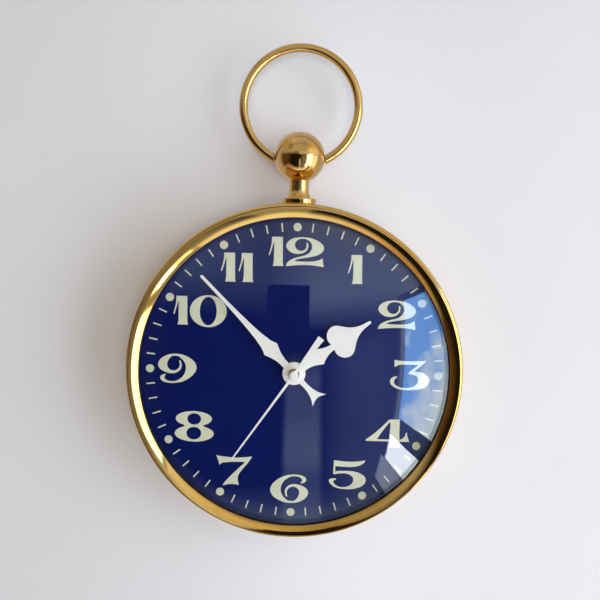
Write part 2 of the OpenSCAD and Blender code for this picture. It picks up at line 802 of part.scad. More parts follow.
// Hands
module hour_hand() {
  color("white")
    front()
      rotate(-hour_turn)
        plate(hour_z, hour_z + hand_t)
          difference() {
            union() {
              polygon(both(stretched(hour_half(), hour_len / 52.2)));
              circle(r = boss_r - 0.5);
            }
            circle(r = hour_pipe_r);
          }
}
module minute_hand() {
  color("white")
    front()
      rotate(-minute_turn) {
        plate(minute_z, boss_z)
          difference() {
            union() {
              polygon(both(stretched(minute_half(), minute_len / 75.9)));
              circle(r = boss_r);
            }
            circle(r = minute_pipe_r);
          }
        rotate_extrude()
          polygon([[minute_pipe_r, boss_z], [boss_r, boss_z], [3.4, nut_z], [minute_pipe_r, nut_z]]);
      }
}
module minute_hand_nut() {
  color("peru")
    front()
      tube(3, minute_pipe_r, nut_z, nut_top);
}
module seconds_hand() {
  color("white")
    front()
      rotate(-seconds_turn) {
        plate(seconds_z, seconds_z + seconds_t)
          difference() {
            union() {
              polygon(both(stretched(seconds_half(), seconds_len / 59.5)));
              circle(r = cap_r);
            }
            circle(r = seconds_r);
          }
        rotate_extrude()
          polygon([[0, seconds_z + seconds_t], [cap_r, seconds_z + seconds_t], [cap_r, cap_top - 0.5],
            [cap_r - 0.6, cap_top], [0, cap_top]]);
        tube(1.7, seconds_r, nut_top + 0.5, seconds_z);
      }
}

// Movement case, lid and the fixings that hold it to the dial
module bearing_spots() {
  at(third_at)
    children();
  at(inter_at)
    children();
  at(rotor_at)
    children();
}
module lid_screw_spots() {
  for (x = [post_edge - box_in, box_in - post_edge])
    for (y = [post_edge - cavity, cavity - post_edge])
      translate([x, y, 0])
        children();
}
module movement_case() {
  color("darkslategray")
    front()
      difference() {
        union() {
          difference() {
            slab(-box_half, box_half, bay_low - mov_wall, mov_half, lid_z1, mov_front);
            slab(-box_in, box_in, -cavity, cavity, lid_z1 - 1, mov_in);
            slab(-bay_half, bay_half, bay_low, -mov_half, lid_z1 - 1, mov_in);
          }
          rod(bush_r, mov_front - 1, bush_top);
          lid_screw_spots()
            rod(post_r, lid_z1, mov_in + 1);
          at([board_x0 + 2.5, board_y0 + 3.5])
            rod(1.5, board_z + board_t, mov_in + 1);
          at([board_x1 - 2.5, board_y1 - 3.5])
            rod(1.5, board_z + board_t, mov_in + 1);
          at(rotor_at + [1.6 - stator_half, stator_half - 1.6])
            rod(1.2, stator_z + stator_t, mov_in + 1);
          at([(leg_x0 + leg_x1) / 2, coil_y - leg_drop + 1])
            rod(1.2, stator_z + stator_t, mov_in + 1);
        }
        rod(hour_pipe_r + run_gap, mov_in - 1, bush_top + 1);
        bearing_spots()
          rod(pivot_r + pin_gap, mov_in - 1, mov_in + 1.2);
        at(knob_at)
          rod(pivot_r + pin_gap, mov_in - 1, mov_in + 1.2);
        at(minute_at)
          rod(0.8, mov_in - 1, mov_in + 1.2);
        lid_screw_spots()
          rod(lid_screw_r, lid_z1 - 1, lid_z1 + lid_screw_l + 0.5);
      }
}
module movement_lid() {
  color("darkslategray")
    front()
      difference() {
        slab(-box_half, box_half, -mov_half, mov_half, lid_z0, lid_z1);
        bearing_spots()
          rod(pivot_r + pin_gap, lid_z1 - 1, lid_z1 + 1);
        rod(pivot_r + pin_gap, lid_z1 - 1, lid_z1 + 1);
        at(knob_at)
          rod(knob_r + run_gap, lid_z0 - 1, lid_z1 + 1);
        lid_screw_spots()
          rod(lid_screw_r, lid_z0 - 1, lid_z1 + 1);
      }
}
module lid_screws() {
  color("silver")
    front()
      lid_screw_spots()
        difference() {
          union() {
            rod(2 * lid_screw_r, lid_z0 - 1, lid_z0);
            rod(lid_screw_r, lid_z0, lid_z1 + lid_screw_l);
          }
          slab(-2, 2, -0.25, 0.25, lid_z0 - 2, lid_z0 - 0.5);
        }
}
module dial_washer() {
  color("goldenrod")
    front()
      tube(6.2, bush_r, dial_z, dial_z + 0.3);
}
module dial_nut() {
  color("goldenrod")
    front()
      difference() {
        translate([0, 0, dial_z + 0.3])
          cylinder(r = 5.8, h = 1.5, $fn = 6);
        rod(bush_r, dial_z - 1, dial_z + 5);
      }
}
module cushion_washer() {
  color("black")
    front()
      tube(2 * bush_r, bush_r, mov_front, seat_z);
}

// Going train
module seconds_arbor() {
  color("silver")
    front() {
      rod(pivot_r, lid_z1 - pivot_l, lid_z1 + 2 * pivot_step);
      rod(seconds_r, lid_z1 + pivot_step, seconds_z + seconds_t);
    }
}
module seconds_wheel() {
  color("ivory")
    front() {
      toothed(50, inter_m, -shift, 103.6, seconds_r, seconds_lv, seconds_lv + wheel_t);
      toothed(8, seconds_m, shift, 200, seconds_r, seconds_lv + wheel_t, third_lv + wheel_t);
    }
}
module plain_arbor() {
  rod(pivot_r, lid_z1 - pivot_l, mov_in + pivot_l);
  rod(arbor_r, lid_z1 + pivot_step, mov_in - pivot_step);
}
module third_arbor() {
  color("silver")
    front()
      at(third_at)
        plain_arbor();
}
module third_wheel() {
  color("ivory")
    front()
      at(third_at) {
        toothed(64, seconds_m, -shift, 20 + 180 / 64, arbor_r, third_lv, third_lv + wheel_t);
        toothed(8, centre_m, shift, 20, arbor_r, third_lv + wheel_t, centre_lv + wheel_t);
      }
}
module minute_pipe() {
  color("peru")
    front()
      tube(minute_pipe_r, seconds_r + run_gap, centre_lv, nut_top - 0.3);
}
module centre_wheel() {
  color("ivory")
    front() {
      toothed(60, centre_m, -shift, 203, minute_pipe_r, centre_lv, centre_lv + wheel_t);
      toothed(12, cannon_m, shift, 40, minute_pipe_r, centre_lv + wheel_t, minute_lv + wheel_t);
    }
}
module hour_pipe() {
  color("peru")
    front()
      tube(hour_pipe_r, minute_pipe_r + run_gap, hour_lv, hour_z + hand_t);
}
module hour_wheel() {
  color("ivory")
    front()
      toothed(40, hour_m, -shift, 44.5, hour_pipe_r, hour_lv, hour_lv + wheel_t);
}
module minute_stud() {
  color("silver")
    front()
      at(minute_at)
        rod(0.8, minute_lv - 0.4, mov_in + 1.2);
}
module minute_wheel() {
  color("ivory")
    front()
      at(minute_at) {
        toothed(36, cannon_m, -shift, 225, 0.8 + run_gap, minute_lv, minute_lv + wheel_t);
        toothed(10, hour_m, shift, 220, 0.8 + run_gap, minute_lv + wheel_t, hour_lv + wheel_t);
      }
}
module inter_arbor() {
  color("silver")
    front()
      at(inter_at)
        plain_arbor();
}
module inter_wheel() {
  color("ivory")
    front()
      at(inter_at) {
        toothed(48, rotor_m, -shift, 153.75, arbor_r, inter_lv, inter_lv + wheel_t);
        toothed(10, inter_m, shift, 280, arbor_r, inter_lv + wheel_t, seconds_lv + wheel_t);
      }
}
module rotor() {
  color("gray")
    front()
      at(rotor_at) {
        plain_arbor();
        rod(rotor_r, stator_z - 1, stator_z + 2);
      }
}
module rotor_pinion() {
  color("ivory")
    front()
      at(rotor_at)
        toothed(8, rotor_m, shift, 330, arbor_r, inter_lv, stator_z - 1);
}
module setting_knob() {
  color("dimgray")
    front()
      at(knob_at) {
        plate(knob_z, lid_z0 - 0.5)
          polygon([
            for (i = [0 : 47])
              (knob_disc - (i % 4 < 2 ? 0 : 0.4)) * [cos(i * 7.5), sin(i * 7.5)]
          ]);
        rod(knob_r, lid_z0 - 1, minute_lv - 0.4);
        rod(arbor_r, minute_lv - 1, mov_in - pivot_step);
        rod(pivot_r, mov_in - 1, mov_in + pivot_l);
      }
}
module setting_pinion() {
  color("ivory")
    front()
      at(knob_at)
        toothed(12, cannon_m, shift, 160, arbor_r, minute_lv - 0.4, minute_lv + wheel_t);
}

// Stepping motor and its circuit
module stator() {
  color("lightgray")
    front()
      plate(stator_z, stator_z + stator_t)
        difference() {
          union() {
            translate(rotor_at)
              pane(-stator_half, stator_half, -stator_half, stator_half);
            pane(rotor_at[0], 0, coil_y - core_half, coil_y + core_half);
            pane(rotor_at[0], leg_x1, coil_y - leg_drop, coil_y - leg_drop + 2 * core_half);
            pane(leg_x0, leg_x1, coil_y - leg_drop, coil_y + core_half);
          }
          translate(rotor_at)
            circle(r = rotor_r + rotor_gap);
        }
}
module coil_core() {
  color("gray")
    front()
      slab(-mov_half * 0.103, leg_x1 - 0.2, coil_y - core_half, coil_y + core_half, core_z, stator_z);
}
module coil() {
  color("chocolate")
    front()
      difference() {
        translate([0, coil_y, core_z + core_t / 2]) {
          crossways(coil_x0, coil_x1, coil_r - flange_t / 2);
          crossways(coil_x0, coil_x0 + flange_t, coil_r);
          crossways(coil_x1 - flange_t, coil_x1, coil_r);
        }
        slab(-mov_half, mov_half, coil_y - core_half, coil_y + core_half, core_z, stator_z);
      }
}
module circuit_board() {
  color("darkgreen")
    front()
      slab(board_x0, board_x1, board_y0, board_y1, board_z, board_z + board_t);
}
module quartz_can() {
  color("silver")
    front()
      translate([board_x0 + 1.5, board_y0 + 3.5, board_z - 1.6])
        cube([6, 2, 1.6]);
}
module chip() {
  color("black")
    front()
      translate([board_x0 + 2.5, board_y1 - 7.5, board_z - 1])
        cube([4.5, 4.5, 1]);
}

// Battery and its contacts
module battery() {
  color("darkgray")
    front()
      translate([0, battery_y, battery_z]) {
        crossways(-battery_l / 2, battery_l / 2 - cap_l, battery_r);
        crossways(battery_l / 2 - cap_l - 0.1, battery_l / 2, cap_r2);
      }
}
module contact_plus() {
  color("silver")
    front()
      translate([0, battery_y, 0])
        plate(battery_z - leaf_half, battery_z + leaf_half)
          polygon([[bay_half, -leaf_end], [bay_half, leaf_end], [bay_half - leaf_t, leaf_end],
            [bay_half - leaf_t, 2.4], [battery_l / 2 + touch_gap, 1.2], [battery_l / 2 + touch_gap, -1.2],
            [bay_half - leaf_t, -2.4], [bay_half - leaf_t, -leaf_end]]);
}
module contact_minus() {
  color("silver")
    front()
      translate([0, battery_y, 0])
        plate(battery_z - leaf_half, battery_z + leaf_half)
          polygon([[-bay_half, leaf_end], [-bay_half, -leaf_end], [leaf_t - bay_half, -leaf_end],
            [leaf_t - bay_half, -4.4], [-battery_l / 2 - touch_gap, -1], [-battery_l / 2 - touch_gap, 1.6],
            [-battery_l / 2 - touch_gap - leaf_t, 1.6], [-battery_l / 2 - touch_gap - leaf_t, -0.8],
            [leaf_t - bay_half, -3.7], [leaf_t - bay_half, leaf_end]]);
}

case_drum();
bezel();
glass_dome();
glass_gasket();
spacer_ring();
dial_plate();
dial_figures();
hour_dots();
minute_marks();
back_cover();
back_screws();
hanger_plate();
hanger_rivets();
pendant_collar();
pendant_neck();
pendant_ball();
pendant_stud();
pendant_washer();
pendant_nut();
bow_ring();
hour_hand();
minute_hand();
minute_hand_nut();
seconds_hand();
movement_case();
movement_lid();
lid_screws();
dial_washer();
dial_nut();
cushion_washer();
seconds_arbor();
seconds_wheel();
third_arbor();
third_wheel();
minute_pipe();
centre_wheel();
hour_pipe();
hour_wheel();
minute_stud();
minute_wheel();
inter_arbor();
inter_wheel();
rotor();
rotor_pinion();
setting_knob();
setting_pinion();
stator();
coil_core();
coil();
circuit_board();
quartz_can();
chip();
battery();
contact_plus();
contact_minus();
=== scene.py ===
import json
import math

import bpy
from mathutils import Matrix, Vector


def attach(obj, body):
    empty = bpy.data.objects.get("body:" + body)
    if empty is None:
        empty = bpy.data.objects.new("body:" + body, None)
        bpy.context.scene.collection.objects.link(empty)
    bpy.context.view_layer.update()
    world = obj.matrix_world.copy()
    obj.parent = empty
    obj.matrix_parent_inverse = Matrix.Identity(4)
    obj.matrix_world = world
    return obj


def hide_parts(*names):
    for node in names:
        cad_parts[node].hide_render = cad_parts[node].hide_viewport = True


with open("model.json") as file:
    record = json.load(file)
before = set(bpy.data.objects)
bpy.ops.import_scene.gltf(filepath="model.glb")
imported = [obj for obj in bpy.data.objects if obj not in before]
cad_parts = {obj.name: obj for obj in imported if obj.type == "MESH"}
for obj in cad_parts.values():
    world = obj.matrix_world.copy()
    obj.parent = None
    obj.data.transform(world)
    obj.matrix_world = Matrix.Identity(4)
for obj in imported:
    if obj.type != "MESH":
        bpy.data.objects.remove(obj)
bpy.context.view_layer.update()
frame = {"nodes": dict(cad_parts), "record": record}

nodes = frame["nodes"]

MM = 0.001
both_sides = (-1, 1)

# Case in millimetres: radii out from the hand axis, heights from the wall towards the glass
case_r = 90.4
sheet_t = 0.9
rear_rim_r = 86.4
flange_r = 80.0
flange_z = 2.2
seat_z = 25.2
spigot_r = 92.2
spigot_in = 91.3
bead_r = 1.7
bead_at = (93.6, 29.3)
case_top_z = 32.2
case_soft = 0.18

# Bezel and glass, measured in the same way
bezel_in = 87.0
bezel_out = 93.0
bezel_lip_z = 32.6
bezel_edge_z = 33.2
bezel_soft = 0.1
face_r = 17.0
face_in = math.radians(40)
face_at = (bezel_in + face_r * math.sin(face_in), bezel_edge_z - face_r * math.cos(face_in))
crest_r = 0.7
crest_x = bezel_out - crest_r
crest_lean = math.asin((face_at[0] - crest_x) / (face_r - crest_r))
crest_at = (crest_x, face_at[1] + (face_r - crest_r) * math.cos(crest_lean))
skirt_in = 92.25
skirt_out = 92.75
skirt_z = 31.0
dome_r = 88.0
dome_ball = 293.57
dome_at = (0, -247.87)
glass_t = 2.0
glass_r = 90.9
glass_z = 30.2
glass_lip = 0.6
glass_soft = 0.03
glass_smooth = 30

# Pendant and ring in millimetres, heights measured up from the hand axis
pendant_z = 15.0
ball_y = 122.0
ball_r = 14.35
collar_r = 10.0
collar_low = 95.3
collar_top = 98.6
collar_edge = 0.6
plug_r = 8.8
plug_foot = 89.9
neck_r = 5.6
flute_h = 4.8
flute_r = 8.43
stud_r = 3.0
neck_seat = (neck_r, 5.0, 4.0, stud_r)
pin_y = 121.1
pin_r = 1.4
pin_in = 10.35
pin_spare = 2
pin_soft = 0.2
hole_r = 1.5
hole_in = 10.05
ring_r = 32.6
wire_r = 2.4
ring_x = 14.65
ring_rise = math.sqrt(ring_r ** 2 - ring_x ** 2)
ring_open = math.asin(ring_x / ring_r)
ring_spare = 10
ring_cut_h = 9
ring_soft = 0.3
ring_soft_angle = 50

# Fineness of the meshes: angles in degrees, merging distances in metres
smooth_angle = 32
soft_angle = 40
soft_steps = 3
drawn_merge = 1e-7
ring_merge = 1e-6
turned_merge = 2e-6
joined_merge = 2e-5

# Where a finish changes, from none to full, in metres along an axis or out from the hand axis
# The first five limits bound the grime and painted shade that darken the bezel's seam and inner lip
grime_and_shade_front = (-0.0300, -0.0304)
seam_front = (-0.0331, -0.0328)
seam_inside = (0.0919, 0.0922)
seam_outside = (0.0936, 0.0932)
lip_outside = (0.0876, 0.0872)
dial_back = (-0.0257, -0.0255)
battery_band = (0.0118, 0.0121)


# Modelling by hand: drawing an outline, turning it, picking faces, rounding edges

def let_go():
    if bpy.context.mode != "OBJECT":
        bpy.ops.object.mode_set(mode="OBJECT")
    bpy.ops.object.select_all(action="DESELECT")


def take_up(piece):
    let_go()
    piece.select_set(True)
    bpy.context.view_layer.objects.active = piece


def name_piece(piece, name):
    piece.name = name
    piece.data.name = name
    return piece


def settle():
    bpy.ops.object.transform_apply(location=True, rotation=True, scale=True)


def close_up(merge):
    bpy.ops.mesh.select_all(action="SELECT")
    bpy.ops.mesh.remove_doubles(threshold=merge)
    bpy.ops.mesh.normals_make_consistent(inside=False)


def dial_spot(radius, height):
    return Vector((radius, -height, 0)) * MM


def pendant_spot(radius, height):
    return Vector((radius, -pendant_z, height)) * MM


def draw_outline(name, spots):
    let_go()
    bpy.ops.mesh.primitive_plane_add(size=MM, location=spots[0])
    piece = name_piece(bpy.context.object, name)
    settle()
    bpy.ops.object.mode_set(mode="EDIT")
    bpy.ops.mesh.select_all(action="SELECT")
    bpy.ops.mesh.merge(type="CENTER")
    for here, there in zip(spots, spots[1:]):
        bpy.ops.mesh.extrude_vertices_move(TRANSFORM_OT_translate={"value": there - here})
    bpy.ops.mesh.select_all(action="SELECT")
    bpy.ops.mesh.remove_doubles(threshold=drawn_merge)
    return piece


def soften_edges(piece, width, angle=soft_angle):
    take_up(piece)
    rounding = piece.modifiers.new("rounding", "BEVEL")
    rounding.width = width * MM
    rounding.segments = soft_steps
    rounding.limit_method = "ANGLE"
    rounding.angle_limit = math.radians(angle)
    bpy.ops.object.modifier_apply(modifier=rounding.name)


def smooth_over(piece, angle=smooth_angle):
    take_up(piece)
    bpy.ops.object.shade_smooth_by_angle(angle=math.radians(angle))


def turn(name, outline, steps, soft=0.0, smooth=smooth_angle,
         spot=dial_spot, axis=(0, 1, 0), centre=(0, 0, 0)):
    piece = draw_outline(name, [spot(radius, height) for radius, height in outline])
    bpy.ops.mesh.select_all(action="SELECT")
    bpy.ops.mesh.spin(steps=steps, angle=2 * math.pi, center=centre, axis=axis)
    close_up(turned_merge)
    bpy.ops.object.mode_set(mode="OBJECT")
    if soft:
        soften_edges(piece, soft)
    smooth_over(piece, smooth)
    return piece


def turn_pendant(name, outline, steps):
    centre = (0, -pendant_z * MM, 0)
    return turn(name, outline, steps, spot=pendant_spot, axis=(0, 0, 1), centre=centre)


def pick_faces(piece, wanted):
    bpy.ops.object.mode_set(mode="OBJECT")
    mesh = piece.data
    for parts in (mesh.vertices, mesh.edges, mesh.polygons):
        parts.foreach_set("select", [False] * len(parts))
    for face in mesh.polygons:
        face.select = wanted(face)
    bpy.ops.object.mode_set(mode="EDIT")
    bpy.ops.mesh.select_mode(type="FACE")


def combine(piece, other, operation):
    take_up(piece)
    joining = piece.modifiers.new("joining", "BOOLEAN")
    joining.operation = operation
    joining.solver = "EXACT"
    joining.object = other
    bpy.ops.object.modifier_apply(modifier=joining.name)
    bpy.data.objects.remove(other)
    bpy.ops.object.mode_set(mode="EDIT")
    close_up(joined_merge)
    bpy.ops.object.mode_set(mode="OBJECT")


def add_side_pin(side, radius, inner, outer, vertices):
    let_go()
    reach = outer - inner
    bpy.ops.mesh.primitive_cylinder_add(
        vertices=vertices, radius=radius * MM, depth=reach * MM, rotation=(0, math.pi / 2, 0),
        location=Vector((side * (inner + reach / 2), -pendant_z, pin_y)) * MM)
    pin = bpy.context.object
    settle()
    return pin


def arc(at, radius, start, end, count):
    turns = [math.radians(start + (end - start) * i / count) for i in range(count + 1)]
    return [(at[0] + radius * math.cos(a), at[1] + radius * math.sin(a)) for a in turns]


def closed(outline):
    return outline + outline[:1]


# The pieces

def make_case_drum():
    outline = [
        (rear_rim_r, 0), (case_r, 0), (case_r, seat_z - sheet_t), (spigot_r, seat_z - sheet_t),
        (spigot_r, bead_at[1] - bead_r),
        *arc(bead_at, bead_r, -90, 90, count=24),
        (spigot_r, bead_at[1] + bead_r), (spigot_r, case_top_z), (spigot_in, case_top_z),
        (spigot_in, seat_z), (case_r - sheet_t, seat_z), (case_r - sheet_t, sheet_t),
        (rear_rim_r + sheet_t, sheet_t), (rear_rim_r + sheet_t, flange_z + sheet_t),
        (flange_r, flange_z + sheet_t), (flange_r, flange_z), (rear_rim_r, flange_z),
    ]
    return turn("brass_case", closed(outline), steps=256, soft=case_soft)


def make_bezel():
    inner = 90 + math.degrees(face_in)
    outer = 90 + math.degrees(crest_lean)
    outline = [
        (bezel_in, bezel_lip_z),
        *arc(face_at, face_r, inner, outer, count=28),
        *arc(crest_at, crest_r, outer, 0, count=12)[1:],
        (bezel_out, bezel_lip_z), (skirt_out, bezel_lip_z),
        (skirt_out, skirt_z), (skirt_in, skirt_z), (skirt_in, bezel_lip_z),
    ]
    return turn("brass_bezel", closed(outline), steps=256, soft=bezel_soft)


def make_glass():
    def dome(ball, rim):
        lean = math.degrees(math.asin(rim / ball))
        return arc(dome_at, ball, 90, 90 - lean, count=48)
    lip_r = dome_r - glass_lip
    outer = dome(dome_ball, dome_r)
    inner = dome(dome_ball - glass_t, lip_r)
    rim_z = outer[-1][1]
    outline = [*outer, (glass_r, rim_z), (glass_r, glass_z), (lip_r, glass_z), *reversed(inner)]
    return turn("domed_glass", outline, steps=192, soft=glass_soft, smooth=glass_smooth)


def make_ball():
    outline = arc((0, ball_y), ball_r, -90, 90, count=64)
    ball = turn_pendant("pendant_ball_brass", outline, steps=128)
    for side in both_sides:
        hole = add_side_pin(side, hole_r, hole_in, ball_r + pin_spare, vertices=48)
        combine(ball, hole, "DIFFERENCE")
    smooth_over(ball)
    return ball


def make_neck():
    foot = math.degrees(math.asin(flute_h / flute_r))
    outline = [
        (stud_r, collar_top),
        *arc((neck_r + flute_r, collar_top + flute_h), flute_r, 180 + foot, 180, count=18),
        *[(r, ball_y - math.sqrt(ball_r ** 2 - r ** 2)) for r in neck_seat],
    ]
    return turn_pendant("pendant_neck_brass", closed(outline), steps=96)


def make_collar():
    edge = collar_r - collar_edge
    outline = [
        (stud_r, plug_foot), (plug_r, plug_foot), (plug_r, collar_low),
        *arc((edge, collar_low + collar_edge), collar_edge, -90, 0, count=8),
        *arc((edge, collar_top - collar_edge), collar_edge, 0, 90, count=8),
        (stud_r, collar_top),
    ]
    return turn_pendant("pendant_collar_brass", closed(outline), steps=96)


def make_ring():
    # The wire is swept a little too far at both ends, which are then cut square to the pins
    centre = Vector((0, -pendant_z, pin_y + ring_rise)) * MM
    start = ring_open - math.radians(90 + ring_spare)
    sweep = math.radians(360 + 2 * ring_spare) - 2 * ring_open
    cut_top = (pin_y + ring_cut_h) * MM
    let_go()
    bpy.ops.mesh.primitive_circle_add(
        vertices=40, radius=wire_r * MM, rotation=(0, -start, 0),
        location=centre + Vector((math.cos(start), 0, math.sin(start))) * ring_r * MM)
    ring = name_piece(bpy.context.object, "hanging_ring")
    settle()
    bpy.ops.object.mode_set(mode="EDIT")
    bpy.ops.mesh.select_all(action="SELECT")
    bpy.ops.mesh.spin(steps=200, angle=sweep, center=centre, axis=(0, 1, 0))
    close_up(ring_merge)
    for side in both_sides:
        pick_faces(ring, lambda face: face.center.z < cut_top and face.center.x * side > 0)
        bpy.ops.mesh.bisect(
            plane_co=(side * ring_x * MM, 0, 0), plane_no=(side, 0, 0), use_fill=True, clear_inner=True)
    close_up(ring_merge)
    bpy.ops.object.mode_set(mode="OBJECT")
    soften_edges(ring, ring_soft, ring_soft_angle)
    for side in both_sides:
        pin = add_side_pin(side, pin_r, pin_in, ring_x + pin_spare, vertices=40)
        soften_edges(pin, pin_soft)
        combine(ring, pin, "UNION")
    smooth_over(ring)
    return ring


# Materials: a socket that does its own arithmetic, and one way to add any other node

class Wire:
    def __init__(self, tree, socket=None):
        self.tree = tree
        self.socket = socket

    def node(self, kind, settings=None, sockets=None, out=0):
        made = self.tree.nodes.new("ShaderNode" + kind)
        for name, value in (settings or {}).items():
            setattr(made, name, value)
        for name, value in (sockets or {}).items():
            if isinstance(value, Wire):
                self.tree.links.new(value.socket, made.inputs[name])
            else:
                made.inputs[name].default_value = value
        return Wire(self.tree, made.outputs[out] if len(made.outputs) else None)

    def sums(self, operation, first, second):
        return self.node("Math", {"operation": operation}, {0: first, 1: second})

    def __add__(self, other):
        return self.sums("ADD", self, other)

    def __radd__(self, other):
        return self.sums("ADD", other, self)

    def __sub__(self, other):
        return self.sums("SUBTRACT", self, other)

    def __rsub__(self, other):
        return self.sums("SUBTRACT", other, self)

    def __mul__(self, other):
        return self.sums("MULTIPLY", self, other)

    def __rmul__(self, other):
        return self.sums("MULTIPLY", other, self)

    def __pow__(self, other):
        return self.sums("POWER", self, other)

    def __rpow__(self, other):
        return self.sums("POWER", other, self)

    def between(self, low, high):
        return self.node("MapRange", {"clamp": True}, {"Value": self, "From Min": low, "From Max": high})

    def blend(self, first, second):
        return self.node("Mix", {"data_type": "RGBA"}, {0: self, 6: first, 7: second}, out=2)


def rgb(red, green, blue):
    return (red, green, blue, 1.0)


def start_finish(name):
    material = bpy.data.materials.new(name)
    material.use_nodes = True
    material.node_tree.nodes.clear()
    sheet = Wire(material.node_tree)
    place = sheet.node("TexCoord", out="Object")
    return material, sheet, place


def end_finish(material, sheet, surface):
    sheet.node("OutputMaterial", {}, {"Surface": surface})
    return material


def axes(sheet, place):
    parts = sheet.node("SeparateXYZ", {}, {"Vector": place})
    return [Wire(sheet.tree, out) for out in parts.socket.node.outputs]


def from_axis(x, z):
    return (x * x + z * z) ** 0.5


def mottle(sheet, place, scale, detail=3.0, roughness=0.55):
    sockets = {"Vector": place, "Scale": scale, "Detail": detail, "Roughness": roughness}
    return sheet.node("TexNoise", {}, sockets)


def bumped(sheet, height, depth, strength=1.0):
    return sheet.node("Bump", {}, {"Strength": strength, "Distance": depth * MM, "Height": height})


def turned_lines(sheet, place, fineness):
    x, y, z = axes(sheet, place)
    radius = from_axis(x, z)
    along = sheet.node("Math", {"operation": "ARCTAN2"}, {0: z, 1: x})
    spread = sheet.node("CombineXYZ", {}, {"X": radius * fineness, "Y": y * fineness, "Z": along * 2.0})
    return mottle(sheet, spread, 1.0, roughness=0.6)


def polished_brass(name, colour, dull, rough, lines):
    material, sheet, place = start_finish(name)
    x, y, z = axes(sheet, place)
    radius = from_axis(x, z)
    # The seam between bead and bezel and the bezel's inner lip go near black: partly grime, partly painted
    # shade in the crevice
    front = y.between(*grime_and_shade_front)
    groove = radius.between(*seam_outside) * radius.between(*seam_inside)
    seam = groove * front * y.between(*seam_front)
    lip = radius.between(*lip_outside) * front
    cloud = mottle(sheet, place, 55.0, detail=5.0, roughness=0.62)
    fleck = mottle(sheet, place, 900.0, roughness=0.6)
    grain = mottle(sheet, place, 2600.0, detail=2.0)
    hair = turned_lines(sheet, place, lines)
    stain = cloud.between(0.48, 0.78) * 0.5 + hair.between(0.55, 0.8) * 0.25
    tarnish = stain + fleck.between(0.60, 0.74) * 0.35
    worn = tarnish.between(0.0, 1.0).blend(rgb(*colour), rgb(*dull))
    grime_and_painted_shade = (seam * 0.75 + lip).between(0.0, 1.0)
    surface = sheet.node("BsdfPrincipled", {}, {
        "Base Color": grime_and_painted_shade.blend(worn, rgb(0.035, 0.018, 0.007)),
        "Metallic": 1.0 - grime_and_painted_shade * 0.8,
        "Roughness": rough + cloud * 0.05 + grain * 0.02 + hair * 0.02 + grime_and_painted_shade * 0.4,
        "Coat Weight": 0.4,
        "Coat Roughness": 0.06,
        "Normal": bumped(sheet, hair * 0.6 + grain * 0.4, 0.004),
    })
    return end_finish(material, sheet, surface)


def satin_brass():
    material, sheet, place = start_finish("satin_brass")
    grain = mottle(sheet, place, 5200.0)
    cloud = mottle(sheet, place, 300.0)
    surface = sheet.node("BsdfPrincipled", {}, {
        "Base Color": cloud.between(0.35, 0.75).blend(rgb(0.70, 0.46, 0.17), rgb(0.52, 0.31, 0.10)),
        "Metallic": 1.0,
        "Roughness": 0.22 + grain * 0.2,
        "Normal": bumped(sheet, grain, 0.006),
    })
    return end_finish(material, sheet, surface)


def clear_glass():
    material, sheet, place = start_finish("clear_glass")
    wave = mottle(sheet, place, 14.0, detail=1.0)
    dust = mottle(sheet, place, 3200.0, detail=2.0).between(0.66, 0.80)
    gloss = sheet.node("BsdfPrincipled", {}, {
        "Base Color": rgb(0.70, 0.85, 1.0),
        "Roughness": 0.015 + dust * 0.10,
        "Specular IOR Level": 1.0,
        "Metallic": 1.0,
        "Normal": bumped(sheet, wave, 0.05, strength=0.3),
    })
    through = sheet.node("BsdfTransparent", {}, {"Color": rgb(0.985, 0.992, 1.0)})
    slant = sheet.node("LayerWeight", {}, {"Blend": 0.5}, out="Facing")
    sheen = 0.06 + 0.94 * slant ** 5.0
    surface = sheet.node("MixShader", {}, {0: sheen + dust * 0.01, 1: through, 2: gloss})
    return end_finish(material, sheet, surface)


def moulded_black(name, grey, rough, coarse):
    material, sheet, place = start_finish(name)
    grain = mottle(sheet, place, coarse, detail=4.0)
    cloud = mottle(sheet, place, 120.0)
    dark = rgb(grey, grey, grey)
    light = rgb(grey * 1.9, grey * 1.9, grey * 1.8)
    surface = sheet.node("BsdfPrincipled", {}, {
        "Base Color": cloud.between(0.3, 0.8).blend(dark, light),
        "Roughness": rough + grain * 0.22,
        "Normal": bumped(sheet, grain, 0.02),
    })
    return end_finish(material, sheet, surface)


def dial_lacquer():
    material, sheet, place = start_finish("dial_lacquer")
    depth = axes(sheet, place)[1]
    bare = depth.between(*dial_back)
    cloud = mottle(sheet, place, 22.0)
    speck = mottle(sheet, place, 3800.0)
    blue = cloud.between(0.3, 0.75).blend(rgb(0.0004, 0.0066, 0.096), rgb(0.0006, 0.0080, 0.120))
    metal = cloud.between(0.3, 0.75).blend(rgb(0.50, 0.50, 0.49), rgb(0.40, 0.40, 0.39))
    surface = sheet.node("BsdfPrincipled", {}, {
        "Base Color": bare.blend(blue, metal),
        "Metallic": bare,
        "Roughness": 0.38 + speck * 0.16,
        "Specular IOR Level": 0.1,
        "Normal": bumped(sheet, speck, 0.004),
    })
    return end_finish(material, sheet, surface)


def printed_cream():
    material, sheet, place = start_finish("printed_cream")
    speck = mottle(sheet, place, 5200.0)
    cloud = mottle(sheet, place, 90.0)
    tone = cloud * 0.6 + speck * 0.4
    surface = sheet.node("BsdfPrincipled", {}, {
        "Base Color": tone.between(0.3, 0.75).blend(rgb(0.68, 0.73, 0.56), rgb(0.78, 0.82, 0.64)),
        "Roughness": 0.62 + speck * 0.2,
        "Normal": bumped(sheet, speck, 0.012),
    })
    return end_finish(material, sheet, surface)


def hand_paint():
    material, sheet, place = start_finish("hand_paint")
    speck = mottle(sheet, place, 4200.0)
    cloud = mottle(sheet, place, 160.0)
    surface = sheet.node("BsdfPrincipled", {}, {
        "Base Color": cloud.between(0.3, 0.8).blend(rgb(0.955, 0.985, 0.98), rgb(0.89, 0.92, 0.92)),
        "Roughness": 0.42 + speck * 0.2,
        "Normal": bumped(sheet, speck, 0.008),
    })
    return end_finish(material, sheet, surface)


